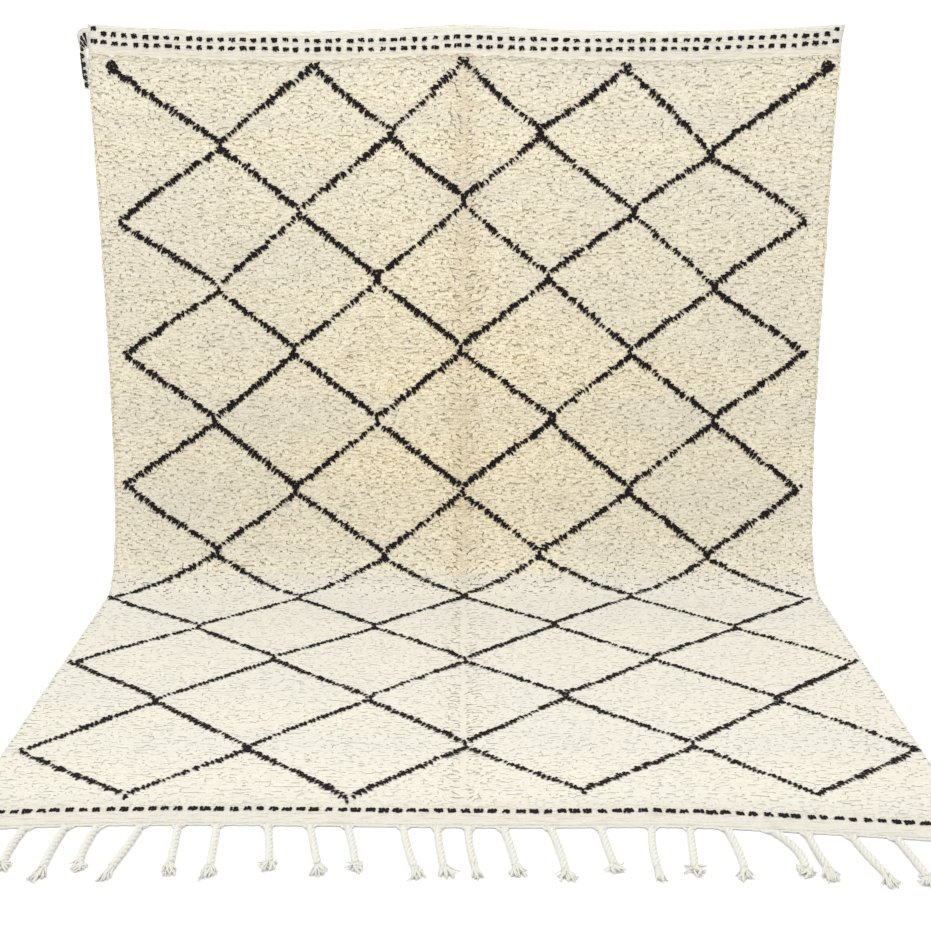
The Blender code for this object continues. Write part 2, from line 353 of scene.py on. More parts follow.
def near_edge(x):
    """Cloth from the held level to the near edge: a slant and a fourth power, less a bell-shaped hollow."""
    hollow = NEAR_EDGE_HOLLOW * np.exp(-(((x - HOLLOW_X) / HOLLOW_WIDTH) ** 2))
    return CENTRE_LENGTH + NEAR_EDGE_SKEW * x + NEAR_EDGE_CORNERS * x**4 - hollow


def edge_y(x):
    """Where the near edge lies on the floor."""
    return TOUCH_Y - (near_edge(x) - HANG_LENGTH)


def fold_depth(x, down):
    """How far the hanging cloth stands forward of its catenary: a billow, sine waves and curled corners."""
    hanging = smooth((HANG_LENGTH - 0.12 - down) / 0.5)
    billow = BILLOW * np.sin(math.pi * x) ** 2 * np.exp(-down / BILLOW_LENGTH)
    wave = WAVE * np.sin(4.6 * x + 1.9 * down + 0.7) * np.sin(3.1 * down + 0.4)
    at_side = smooth((np.abs(x) - WIDTH / 2 + CORNER_CURL_WIDTH) / CORNER_CURL_WIDTH)
    curl = CORNER_CURL * at_side * smooth(1.0 - down / CORNER_CURL_LENGTH)
    return hanging * (billow + wave) - curl


def on_cloth(x, down, height):
    """Points of the cloth: a catenary z = a cosh(y / a) - a by its length, then the floor, out by height."""
    off_floor = np.maximum(HANG_LENGTH - down, 0.0)
    on_floor = np.maximum(down - HANG_LENGTH, 0.0)
    slant = np.hypot(FOOT_RADIUS, off_floor)
    forward = fold_depth(x, down) + height
    y = TOUCH_Y + FOOT_RADIUS * np.arcsinh(off_floor / FOOT_RADIUS) - on_floor - forward * off_floor / slant
    z = slant - FOOT_RADIUS + forward * FOOT_RADIUS / slant
    stretch = CORNER_STRETCH * np.exp(-down / CORNER_STRETCH_LENGTH) * smooth(x / (WIDTH / 2))
    return np.stack([x + stretch, y, z], axis=-1)


def bed_share(x, down):
    """1 where the ground carries pile and 0 in the end bands, falling along S-curves at bands and sides."""
    top = smooth((down - top_edge(x) - TOP_BAND) / BED_SHOULDER)
    near = smooth((near_edge(x) - down - NEAR_BAND + 0.006) / (3.0 * BED_SHOULDER))
    side = 0.35 + 0.65 * smooth((WIDTH / 2 - np.abs(x)) / 0.016)
    return top * near * side


def bed_height(x, down):
    """Height of the dense lower part of the pile, lower along the crease down the middle."""
    full = BED_HEIGHT - 0.0035 * np.exp(-((x / 0.03) ** 2))
    return GROUND_THICKNESS + (full - GROUND_THICKNESS) * bed_share(x, down)


def tail_centre(length):
    """The tail's middle line: to the left, round a quarter turn, and straight down with a small drift."""
    arc = TAIL_BEND * math.pi / 2
    turn = np.clip((length - TAIL_STRAIGHT) / arc, 0.0, 1.0) * math.pi / 2
    fall = np.maximum(length - TAIL_STRAIGHT - arc, 0.0)
    held = on_cloth(np.array(TAIL_START[0]), np.array(0.0), GROUND_THICKNESS / 2)
    x = TAIL_START[0] - np.minimum(length, TAIL_STRAIGHT) - TAIL_REACH * np.sin(turn) + TAIL_DRIFT * fall
    y = held[1] + TAIL_BACK * (1.0 - np.cos(turn)) - TAIL_DRIFT * fall
    z = held[2] + TAIL_START[1] - TAIL_DROP * (1.0 - np.cos(turn)) - fall
    return np.stack([x, y, z], axis=-1), turn


def on_tail(x, down, height):
    """Points of the tail: -x along its middle line, down from its outer edge, and height out of its face."""
    length = np.clip(-x, 0.0, TAIL_LENGTH)
    centre, turn = tail_centre(length)
    ahead = tail_centre(length + 1e-4)[0] - tail_centre(length - 1e-4)[0]
    twist = TAIL_TURN * smooth(turn / (math.pi / 2))
    outward = np.stack([-np.sin(turn) * np.cos(twist), np.sin(turn) * np.sin(twist), np.cos(turn)], axis=-1)
    facing = np.cross(outward, ahead)
    facing = facing / np.linalg.norm(facing, axis=-1, keepdims=True)
    sideways = (TAIL_WIDTH / 2 - down)[..., None] * outward
    return centre + sideways + (height - TAIL_THICKNESS / 2)[..., None] * facing


# ---------------------------------------------------------------- the pattern


def lattice_place(x, down):
    """(column, row) of places on the cloth: knots are at whole numbers, and it is linear between them."""
    levels = np.stack([np.interp(x, *np.array(row).T) for row in LATTICE_KNOTS])
    levels = np.concatenate([levels[:1] - KNOT_ROW, levels, levels[-1:] + KNOT_ROW])
    row = np.clip((down - levels[:-1]) / np.diff(levels, axis=0), 0.0, 1.0).sum(axis=0)
    lines = []
    for column in range(-4, 5):
        first = column % 2
        knots = [LATTICE_KNOTS[r][(column + 4 - first) // 2][0] for r in range(first, LAST_ROW, 2)]
        lines.append(np.interp(row, np.arange(first + 1, LAST_ROW + 1, 2), knots))
    lines = np.stack([lines[0] - KNOT_COLUMN, *lines, lines[-1] + KNOT_COLUMN])
    column = np.clip((x - lines[:-1]) / np.diff(lines, axis=0), 0.0, 1.0).sum(axis=0) - 5.0
    return column, row


def line_place(x, down, bar):
    """Distance across the rug to the nearest line of the lattice, and the way that line slants.

    The lines are zigzags through the knots, upright for `bar` at each knot. The slant is 1 for a line that
    goes left as it goes down, -1 for one that goes right, and 0 for an upright bar.
    """
    column, row = lattice_place(x, down)
    part = row % 1.0
    wild = 1.0 + 0.20 * soft_noise(np.round(column) * 7.31, np.round(row) * 3.17, 77)
    half = 0.5 * bar / KNOT_ROW * wild * smooth((0.97 - np.abs(x)) / 0.08) * (row > 1.5)
    sloped = np.clip((part - half) / (1.0 - 2.0 * half), 0.0, 1.0)
    level = np.floor(row) + sloped
    leftward = np.abs((column + level) % 2.0 - 1.0)
    rightward = np.abs((column - level) % 2.0 - 1.0)
    distance = np.minimum(leftward, rightward) * KNOT_COLUMN
    slant = np.where(leftward < rightward, 1.0, -1.0) * ((sloped > 0.0) & (sloped < 1.0))
    beyond = np.maximum(1.0 - row, row - LAST_ROW) * KNOT_ROW
    distance = np.where((beyond > 0.004) | (np.abs(column) > LAST_COLUMN), 1.0, distance)
    for end in (LATTICE_KNOTS[0][0], LATTICE_KNOTS[0][-1]):
        past_end = (row < 1.7) & (np.abs(x) > abs(end[0]) + 0.004) & (x * end[0] > 0.0)
        distance = np.where(past_end, 1.0, distance)
        blob = np.maximum(np.abs(x - end[0]), np.abs(down - end[1])) - 0.004
        distance = np.minimum(distance, np.maximum(blob, 0.0))
    return distance, slant



# ---------------------------------------------------------------- meshes


def mesh_object(name, points, corners, sizes, material, attributes=None, maps=None):
    """A smooth object from points, the corners of all faces in one row, and each face's corner count."""
    mesh = bpy.data.meshes.new(name)
    mesh.vertices.add(len(points))
    mesh.vertices.foreach_set("co", np.ascontiguousarray(points, np.float32).ravel())
    mesh.loops.add(len(corners))
    mesh.loops.foreach_set("vertex_index", np.ascontiguousarray(corners, np.int32))
    mesh.polygons.add(len(sizes))
    starts = np.concatenate([[0], np.cumsum(sizes)[:-1]])
    mesh.polygons.foreach_set("loop_start", starts.astype(np.int32))
    mesh.polygons.foreach_set("use_smooth", np.ones(len(sizes), bool))
    mesh.update(calc_edges=True)
    for key, values in (attributes or {}).items():
        layer = mesh.attributes.new(key, "FLOAT", "POINT")
        layer.data.foreach_set("value", np.ascontiguousarray(values, np.float32).ravel())
    for key, places in (maps or {}).items():
        layer = mesh.uv_layers.new(name=key)
        layer.data.foreach_set("uv", np.ascontiguousarray(places, np.float32).ravel())
    mesh.materials.append(material)
    thing = bpy.data.objects.new(name, mesh)
    bpy.context.scene.collection.objects.link(thing)
    return thing


def copies_of_faces(corners, count, points_each):
    """The corners of one shape's faces, repeated for `count` shapes that follow each other."""
    return (np.asarray(corners)[None, :] + points_each * np.arange(count)[:, None]).ravel()


def bake_cells(places, count):
    """Each of `count` shapes gets its own small square of the bake's map, with its own places inside it."""
    side = math.ceil(math.sqrt(count))
    index = np.arange(count)
    origin = np.stack([index % side, index // side], axis=-1)
    return ((origin[:, None, :] + 0.08 + 0.84 * np.asarray(places)[None]) / side).reshape(-1, 2)


# A tuft: a flat lock of wool with an edge at its root, a ring of three where it bends over, and a blunt edge
# at its end. The points are root left and right; bend top, left and right; end left and right
TUFT_SIDE = np.array([-0.40, 0.40, 0.0, -0.5, 0.5, -0.5, 0.5])
TUFT_FRONT = np.array([0.0, 0.0, 1.0, -0.6, -0.6, 0.0, 0.0])
TUFT_FACES = ((0, 1, 4, 3), (0, 3, 2), (1, 2, 4), (0, 2, 1), (3, 4, 6, 5), (3, 5, 2), (4, 2, 6), (2, 5, 6))
TUFT_POINTS = 7


def tuft_map():
    """Places in a tuft's own square, for each corner of its faces: underside left, top in the middle."""
    under = np.array([(0.02, 0.0), (0.30, 0.0), (0.30, 0.5), (0.02, 0.5), (0.30, 1.0), (0.02, 1.0)])
    root_left, root_right, bend_right, bend_left, end_right, end_left = under
    top_root_left, top_root_right, top = np.array([(0.36, 0.0), (0.96, 0.0), (0.66, 0.5)])
    top_left, top_right = np.array([(0.36, 0.5), (0.96, 0.5)])
    top_end_left, top_end_right = np.array([(0.36, 1.0), (0.96, 1.0)])
    return np.array([
        root_left, root_right, bend_right, bend_left,
        top_root_left, top_left, top,
        top_root_right, top, top_right,
        top_root_left, top, top_root_right,
        bend_left, bend_right, end_right, end_left,
        top_left, top_end_left, top,
        top_right, top, top_end_right,
        top, top_end_left, top_end_right,
    ])


def tuft_mesh(name, place, tufts, material):
    """A joined mesh of tufts. Each rises from its root, bends over, and ends in a blunt edge.

    `tufts` holds arrays: x, down, root (height of the root), lean_x, lean_down, bend and tip (heights),
    width, thick, blunt (share of the width left at the end), fall (how much its end turns down the cloth),
    start and gain (how far out of the painted shade it is at its root, and how much further at its end),
    dark, tone and warm. `place` turns (across, down, height) into a point.
    """
    count = len(tufts["x"])
    column = lambda key: tufts[key][:, None]
    share = np.array([0.0, 0.0, BEND_SHARE, BEND_SHARE, BEND_SHARE, 1.0, 1.0])
    at_bend, at_end = (share == BEND_SHARE).astype(float), (share == 1.0).astype(float)
    narrow = 1.0 - at_end * (1.0 - column("blunt"))
    x = column("x") + share * column("lean_x") + column("width") * TUFT_SIDE * narrow
    down = column("down") + share * column("lean_down")
    raised = at_bend * (column("bend") + column("thick") * TUFT_FRONT) + at_end * column("tip")
    height = column("root") + raised
    points = place(x, down, height)
    outward, along = place(x, down, height + 0.001) - points, place(x, down + 0.001, height) - points
    drop = at_bend * 0.15 + at_end * 0.9
    facing = (outward + (column("fall") * drop)[..., None] * along).reshape(-1, 3)
    facing /= np.linalg.norm(facing, axis=-1, keepdims=True)
    points = points.reshape(-1, 3)
    corners = copies_of_faces(np.concatenate(TUFT_FACES), count, TUFT_POINTS)
    sizes = np.tile([len(face) for face in TUFT_FACES], count)
    # reach: how far out of the painted shade at the root each point is, which the wool's colour follows
    attributes = {"reach": (column("start") + share * column("gain")).ravel()}
    for key in ("dark", "tone", "warm"):
        attributes[key] = np.repeat(tufts[key], TUFT_POINTS)
    spots = tuft_map()
    shift = np.random.default_rng(count).uniform(0.0, 40.0, (count, 1, 2))
    maps = {
        "fibre": (spots[None] * (1.0, 2.0) + shift).reshape(-1, 2),
        "OFBake": bake_cells(spots, count),
    }
    thing = mesh_object(name, points, corners, sizes, material, attributes, maps)
    thing.data.normals_split_custom_set_from_vertices(facing.astype(np.float32))
    return thing


def tube_mesh(name, paths, radii, sides, material, attributes=None):
    """A joined mesh of closed tubes: rings round each path (tubes, stations, 3), one at each station."""
    tubes, stations = paths.shape[:2]
    ahead = np.gradient(paths, axis=1)
    ahead /= np.linalg.norm(ahead, axis=-1, keepdims=True) + 1e-12
    level = np.cross(ahead, np.array([0.05, 0.08, 1.0]))
    level /= np.linalg.norm(level, axis=-1, keepdims=True) + 1e-12
    upright = np.cross(level, ahead)
    angle = np.linspace(0.0, 2.0 * math.pi, sides, endpoint=False)[None, None, :, None]
    ring = np.cos(angle) * level[:, :, None, :] + np.sin(angle) * upright[:, :, None, :]
    points = paths[:, :, None, :] + radii[:, :, None, None] * ring
    index = np.arange(stations * sides).reshape(stations, sides)
    after = np.roll(index, -1, axis=1)
    quads = np.stack([index[:-1], index[1:], after[1:], after[:-1]], axis=-1).reshape(-1)
    one = np.concatenate([quads, index[0], index[-1, ::-1]])
    size = np.concatenate([np.full((stations - 1) * sides, 4), [sides, sides]])
    around, along = np.meshgrid(np.arange(sides), np.arange(stations - 1))
    spots = np.stack([around, along, around, along + 1, around + 1, along + 1, around + 1, along], axis=-1)
    spots = spots.reshape(-1, 2) / (sides, stations)
    cap = np.stack([np.cos(angle.ravel()), np.sin(angle.ravel())], axis=-1)
    low = np.array([0.25, 0.995]) + cap * (0.2, 0.004)
    high = np.array([0.75, 0.995]) + cap * (0.2, 0.004)
    spots = np.concatenate([spots * (1.0, 0.98), low, high[::-1]])
    steps = np.linalg.norm(np.diff(paths, axis=1), axis=-1)
    run = np.concatenate([np.zeros((tubes, 1)), np.cumsum(steps, axis=1)], axis=1)
    every = {"run": np.repeat(run.reshape(-1), sides), **(attributes or {})}
    corners = copies_of_faces(one, tubes, stations * sides)
    maps = {"fibre": np.tile(spots, (tubes, 1)), "OFBake": bake_cells(spots, tubes)}
    return mesh_object(name, points.reshape(-1, 3), corners, np.tile(size, tubes), material, every, maps)


def closed_sheet(front, back):
    """Points and faces of two grids of one size, front and back, joined by a wall round their rim."""
    rows, columns = front.shape[:2]
    index = np.arange(rows * columns).reshape(rows, columns)
    face = np.stack([index[:-1, :-1], index[1:, :-1], index[1:, 1:], index[:-1, 1:]], axis=-1).reshape(-1, 4)
    rim = np.concatenate([index[:-1, 0], index[-1, :-1], index[:0:-1, -1], index[0, :0:-1]])
    after = np.roll(rim, -1)
    behind = rows * columns
    wall = np.stack([rim, rim + behind, after + behind, after], axis=-1)
    faces = np.concatenate([face, face[:, ::-1] + behind, wall])
    points = np.concatenate([front.reshape(-1, 3), back.reshape(-1, 3)])
    return points, faces


# ---------------------------------------------------------------- materials


class Recipe:
    """A node material that is put together step by step."""

    def __init__(self, name, roughness=0.9):
        self.material = bpy.data.materials.new(name)
        self.material.use_nodes = True
        self.nodes, self.links = self.material.node_tree.nodes, self.material.node_tree.links
        self.shader = self.nodes["Principled BSDF"]
        self.shader.inputs["Roughness"].default_value = roughness
        self.shader.inputs["Specular IOR Level"].default_value = 0.2

    def node(self, kind, inputs=None, **settings):
        """A node of that kind, its settings, and values or links for its inputs."""
        made = self.nodes.new(kind)
        for key, value in settings.items():
            setattr(made, key, value)
        for key, value in (inputs or {}).items():
            if isinstance(value, bpy.types.NodeSocket):
                self.links.new(value, made.inputs[key])
            else:
                made.inputs[key].default_value = value
        return made

    def attribute(self, name):
        return self.node("ShaderNodeAttribute", attribute_name=name).outputs["Fac"]

    def math(self, operation, a, b=0.0):
        return self.node("ShaderNodeMath", {0: a, 1: b}, operation=operation).outputs[0]

    def mix(self, share, a, b, blend="MIX"):
        """A colour between a and b."""
        made = self.node("ShaderNodeMix", data_type="RGBA", blend_type=blend)
        for spot, value in ((0, share), (6, a), (7, b)):
            if isinstance(value, bpy.types.NodeSocket):
                self.links.new(value, made.inputs[spot])
            else:
                made.inputs[spot].default_value = value if spot == 0 else (*value, 1.0)[:4]
        return made.outputs[2]

    def noise(self, place, scale, detail=2.0):
        inputs = {"Vector": place, "Scale": scale, "Detail": detail}
        return self.node("ShaderNodeTexNoise", inputs).outputs["Fac"]

    def ramp(self, value, low, high, bottom=0.0, top=1.0):
        """A number that goes from bottom to top as value goes from low to high."""
        inputs = {"Value": value, "From Min": low, "From Max": high, "To Min": bottom, "To Max": top}
        return self.node("ShaderNodeMapRange", inputs).outputs["Result"]

    def stretched(self, place, scale):
        return self.node("ShaderNodeMapping", {"Vector": place, "Scale": scale}).outputs["Vector"]

    def map(self, name):
        return self.node("ShaderNodeUVMap", uv_map=name).outputs["UV"]

    def object_place(self):
        return self.node("ShaderNodeTexCoord").outputs["Object"]

    def zigzag(self, name):
        """Distance of an attribute to the nearest odd number."""
        return self.math("SUBTRACT", 1.0, self.math("PINGPONG", self.attribute(name), 1.0))

    def finish(self, colour, height=None, distance=0.001, strength=0.6):
        """Colour into the shader, and height into its normal through a bump."""
        self.links.new(colour, self.shader.inputs["Base Color"])
        if height is not None:
            inputs = {"Height": height, "Distance": distance, "Strength": strength}
            bump = self.node("ShaderNodeBump", inputs)
            self.links.new(bump.outputs["Normal"], self.shader.inputs["Normal"])
        return self.material


def wool_pile(colours):
    """Undyed wool: golden at the root and pale at the tip, where the darker root is painted shade near the
    bed and under the ridge above; golden on the hang and whiter on the floor, also painted shade, with slow
    bands;
    darker along the crease, painted shade; dark in the lattice, with fine fibres along it.
    """
    wool = Recipe("knotted_wool_pile", 0.92)
    reach, dark = wool.attribute("reach"), wool.attribute("dark")
    tone, warm = wool.attribute("tone"), wool.attribute("warm")
    fibres = wool.noise(wool.stretched(wool.map("fibre"), (5.0, 1.7, 1.0)), 1.0, 2.0)
    wool.links.new(wool.ramp(dark, 0.0, 1.0, 0.25, 0.0), wool.shader.inputs["Sheen Weight"])
    # painted shade: darker from the root to the end of each tuft, with fibres breaking it up
    out_of_shade = wool.ramp(wool.math("ADD", reach, wool.ramp(fibres, 0.3, 0.7, -0.55, 0.55)), 0.0, 0.95)
    white = wool.mix(out_of_shade, tuple(colours.white_root_shade), tuple(colours.white_tip))
    gold = wool.mix(out_of_shade, tuple(colours.gold_root_shade), tuple(colours.gold_tip))
    # tone darkens towards brown: random tone of each tuft and painted shade along the crease; warm is painted
    # shade of the hang
    cream = wool.mix(wool.math("MULTIPLY", tone, 0.5), wool.mix(warm, white, gold), (0.50, 0.38, 0.22))
    black = wool.mix(wool.ramp(fibres, 0.35, 0.75), tuple(colours.dark_wool), (0.016, 0.011, 0.011))
    return wool.finish(wool.mix(dark, cream, black), fibres, 0.0005, 0.35)


def woven_ground(colours):
    """Flat weave: weft ridges across and fine warps, golden under the pile on the hang as painted shade, with
    the knots' backs behind.
    """
    weave = Recipe("woven_ground", 0.88)
    place = weave.map("cloth")
    wobble = weave.noise(weave.stretched(place, (14.0, 30.0, 1.0)), 1.0, 3.0)
    parts = weave.node("ShaderNodeSeparateXYZ", {0: place})
    across, down = parts.outputs["X"], parts.outputs["Y"]
    weft = weave.math("ADD", down, weave.math("MULTIPLY", wobble, 0.004))
    weft = weave.math("SINE", weave.math("MULTIPLY", weft, WEFTS))
    warp = weave.math("ADD", across, weave.math("MULTIPLY", wobble, 0.003))
    warp = weave.math("SINE", weave.math("MULTIPLY", warp, WARPS))
    crossing = weave.math("MULTIPLY", warp, weave.math("MULTIPLY", weft, 0.3))
    height = weave.math("ADD", weave.ramp(weft, -1.0, 1.0), crossing)
    speck = weave.noise(weave.stretched(place, (160.0, 420.0, 1.0)), 1.0, 2.0)
    band = weave.mix(weave.ramp(speck, 0.35, 0.7), tuple(0.86 * c for c in colours.band), tuple(colours.band))
    sway = weave.noise(weave.stretched(place, (9.0, 55.0, 1.0)), 1.0, 2.0)
    pick = weave.math("ADD", weave.math("MULTIPLY", down, PICKS), weave.math("MULTIPLY", sway, 16.0))
    pick = weave.ramp(weave.math("SINE", pick), -1.0, -0.35, 1.0, 0.0)
    broken = weave.ramp(weave.noise(weave.stretched(place, (30.0, 90.0, 1.0)), 1.0, 2.0), 0.40, 0.62)
    pick = weave.math("MULTIPLY", pick, broken)
    band = weave.mix(weave.math("MULTIPLY", pick, 0.45), band, (0.52, 0.43, 0.28))
    height = weave.math("SUBTRACT", height, weave.math("MULTIPLY", pick, 1.5))
    gold = tuple(0.15 * root + 0.85 * tip for root, tip in zip(colours.gold_root_shade, colours.gold_tip))
    # the bed under the pile: golden on the hang and whiter on the floor, as painted shade, with slow bands
    under = weave.mix(weave.attribute("warm"), tuple(colours.white_tip), gold)
    under = weave.mix(weave.ramp(speck, 0.2, 0.5, 0.06, 0.0), under, tuple(colours.gold_root_shade))
    front = weave.mix(weave.attribute("under_pile"), band, under)
    knots = weave.math("SINE", weave.math("MULTIPLY", across, KNOT_BACKS))
    back = weave.mix(weave.ramp(speck, 0.3, 0.7), (0.62, 0.55, 0.41), (0.78, 0.72, 0.58))
    back = weave.mix(weave.ramp(knots, -1.0, 0.2, 0.25, 0.0), back, (0.45, 0.36, 0.23))
    nearest = weave.math("MINIMUM", weave.zigzag("rising"), weave.zigzag("falling"))
    nearest = weave.math("ADD", nearest, weave.ramp(speck, 0.2, 0.8, -0.03, 0.03))
    line = weave.math("MULTIPLY", weave.ramp(nearest, 0.035, 0.055, 1.0, 0.0), weave.attribute("patterned"))
    back = weave.mix(line, back, tuple(2.0 * c for c in colours.dark_wool))
    colour = weave.mix(weave.attribute("behind"), front, back)
    return weave.finish(colour, height, 0.0012, 0.8)


def twisted_warp(colours):
    """Twisted yarn: slanting ridges of fibre round each ply, painted shade in the hollows between them, and
    slight unevenness.
    """
    yarn = Recipe("twisted_warp", 0.9)
    yarn.shader.inputs["Sheen Weight"].default_value = 0.2
    place = yarn.object_place()
    run = yarn.math("MULTIPLY", yarn.attribute("run"), 1400.0)
    parts = yarn.node("ShaderNodeSeparateXYZ", {0: yarn.map("fibre")})
    around = yarn.math("MULTIPLY", parts.outputs["X"], 2.0 * math.pi * 3.0)
    ridges = yarn.math("SINE", yarn.math("ADD", run, around))
    fluff = yarn.noise(yarn.stretched(place, (900.0, 500.0, 900.0)), 1.0, 3.0)
    height = yarn.math("ADD", yarn.ramp(ridges, -1.0, 1.0), fluff)
    # painted shade: the hollows of the twist are drawn darker than its ridges
    light = yarn.math("ADD", yarn.ramp(ridges, -1.0, 1.0, 0.0, 0.5), yarn.math("MULTIPLY", fluff, 0.8))
    hollow = tuple(c * s for c, s in zip(colours.tassel, (0.90, 0.885, 0.85)))
    colour = yarn.mix(yarn.ramp(light, 0.2, 0.9), hollow, tuple(colours.tassel))
    return yarn.finish(colour, height, 0.0006, 0.45)


def studio_floor(colours):
    """Plain pale floor with a faint unevenness."""
    paint = Recipe("studio_floor", 0.85)
    grain = paint.noise(paint.object_place(), 1.5, 2.0)
    tint = tuple(colours.floor)
    return paint.finish(paint.mix(paint.ramp(grain, 0.3, 0.7), tuple(0.985 * c for c in tint), tint))


# ---------------------------------------------------------------- pieces


def spaced(start, stop, step):
    """Evenly spaced numbers from start to stop, about `step` apart."""
    return np.linspace(start, stop, max(2, round((stop - start) / step) + 1))


def ground_piece(colours):
    """The woven ground: a closed sheet from edge to edge, with the tail as a second closed sheet."""
    along = np.concatenate([
        spaced(0.0, 0.10, 0.008),
        spaced(0.12, HANG_LENGTH - 0.2, 0.022),
        spaced(HANG_LENGTH - 0.19, HANG_LENGTH + 0.03, 0.009),
        spaced(HANG_LENGTH + 0.05, CENTRE_LENGTH - 0.09, 0.022),
        spaced(CENTRE_LENGTH - 0.08, CENTRE_LENGTH, 0.008),
    ])
    x, along = np.meshgrid(spaced(-WIDTH / 2, WIDTH / 2, 0.018), along / CENTRE_LENGTH)
    start, end = top_edge(x), near_edge(x)
    down = start + along * (end - start)
    fine, broad = soft_noise(x / 0.03, down / 0.02, 21), soft_noise(x / 0.05, down / 0.05, 22)
    ripple = np.where(down < HANG_LENGTH - 0.3, 0.0006 * broad, 0.0003 * fine)
    front = on_cloth(x, down, bed_height(x, down) - 0.0003 + ripple)
    back = on_cloth(x, down, np.zeros_like(x))
    points, faces = closed_sheet(front, back)
    column, row = lattice_place(x, down)
    under = np.clip(bed_share(x, down) * 2.0 - 1.0, 0.0, 1.0)
    under = np.maximum(under, 0.7 * smooth((down - start - 0.052) / 0.010) * (down < 1.0))
    patterned = (row > 0.96) & (row < LAST_ROW + 0.04) & (np.abs(column) < LAST_COLUMN)
    patterned = patterned.astype(float)
    both_sides = lambda values: np.tile(values.ravel(), 2)
    attributes = {
        "under_pile": both_sides(under),
        "warm": both_sides(warm_shade_and_bands(x, down)),
        "rising": both_sides(column + row + 20.0),
        "falling": both_sides(column - row + 20.0),
        "patterned": both_sides(patterned),
        "behind": np.repeat((0.0, 1.0), x.size),
    }
    place = np.tile(np.stack([x, down], axis=-1).reshape(-1, 2), (2, 1))

    tail_x, tail_down = np.meshgrid(-spaced(0.0, TAIL_LENGTH, 0.006), spaced(0.0, TAIL_WIDTH, 0.0055))
    tail_front = on_tail(tail_x, tail_down, np.full_like(tail_x, TAIL_THICKNESS - 0.0006))
    tail_back = on_tail(tail_x, tail_down, np.full_like(tail_x, 0.0006))
    tail_points, tail_faces = closed_sheet(tail_front, tail_back)
    for key, values in attributes.items():
        attributes[key] = np.concatenate([values, np.zeros(len(tail_points))])
    tail_place = np.concatenate([np.stack([tail_x - 1.0, tail_down], axis=-1).reshape(-1, 2)] * 2)
    faces = np.concatenate([faces, tail_faces + len(points)])
    points = np.concatenate([points, tail_points])
    place = np.concatenate([place, tail_place])
    corners = faces.ravel()
    sizes, maps = np.full(len(faces), 4), {"cloth": place[corners]}
    return mesh_object("woven_ground", points, corners, sizes, woven_ground(colours), attributes, maps)


def patchy(x, down, patches):
    """Slow unevenness over the cloth: soft noise of one size across, one size down, and one seed."""
    across, along, seed = patches
    return soft_noise(x / across, down / along, seed)

